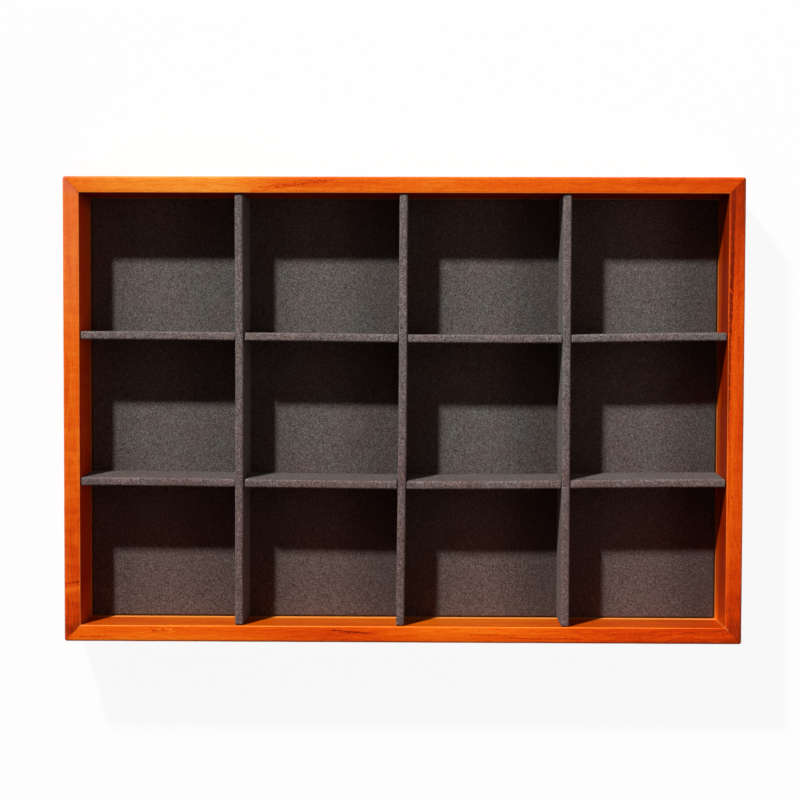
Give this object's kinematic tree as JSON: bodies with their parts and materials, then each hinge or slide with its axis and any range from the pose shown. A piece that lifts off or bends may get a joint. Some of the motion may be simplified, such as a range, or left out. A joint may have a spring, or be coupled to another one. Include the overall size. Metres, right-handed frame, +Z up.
{
  "type": "pendant display tray",
  "caption": "Shallow mitred wooden tray with a fabric-covered liner and a lift-out grid of fabric-covered dividers that form rectangular compartments.",
  "frame": {"origin": "on the table under the middle of the tray", "axes": "+X to the tray's right along its length, +Y to its rear, +Z up out of its open side"},
  "size_m": [0.35, 0.24, 0.035],
  "materials": {
    "stained_wood": "orange stain under satin varnish",
    "plywood": "bare thin plywood",
    "grey_board": "bare grey paperboard",
    "divider_board": "bare fibreboard",
    "felt": "heathered dark grey felt",
    "brad_steel": "plain steel wire"
  },
  "bodies": {
    "tray": {"left_rail": "stained_wood", "right_rail": "stained_wood", "front_rail": "stained_wood", "rear_rail": "stained_wood", "bottom_panel": "plywood", "corner_brads": "brad_steel"},
    "liner": {"liner_board": "grey_board", "liner_cover": "felt"},
    "cross_dividers": {"front_cross_board": "divider_board", "front_cross_cover": "felt", "rear_cross_board": "divider_board", "rear_cross_cover": "felt"},
    "left_divider": {"left_divider_board": "divider_board", "left_divider_cover": "felt"},
    "middle_divider": {"middle_divider_board": "divider_board", "middle_divider_cover": "felt"},
    "right_divider": {"right_divider_board": "divider_board", "right_divider_cover": "felt"}
  },
  "joints": [
    {"name": "liner_lift", "type": "slide", "parent": "tray", "child": "liner", "axis": [0, 0, 1], "range_m": [0, 0.035]},
    {"name": "cross_dividers_lift", "type": "slide", "parent": "liner", "child": "cross_dividers", "axis": [0, 0, 1], "range_m": [0, 0.035]},
    {"name": "left_divider_lift", "type": "slide", "parent": "cross_dividers", "child": "left_divider", "axis": [0, 0, 1], "range_m": [0, 0.035]},
    {"name": "middle_divider_lift", "type": "slide", "parent": "cross_dividers", "child": "middle_divider", "axis": [0, 0, 1], "range_m": [0, 0.035]},
    {"name": "right_divider_lift", "type": "slide", "parent": "cross_dividers", "child": "right_divider", "axis": [0, 0, 1], "range_m": [0, 0.035]}
  ]
}
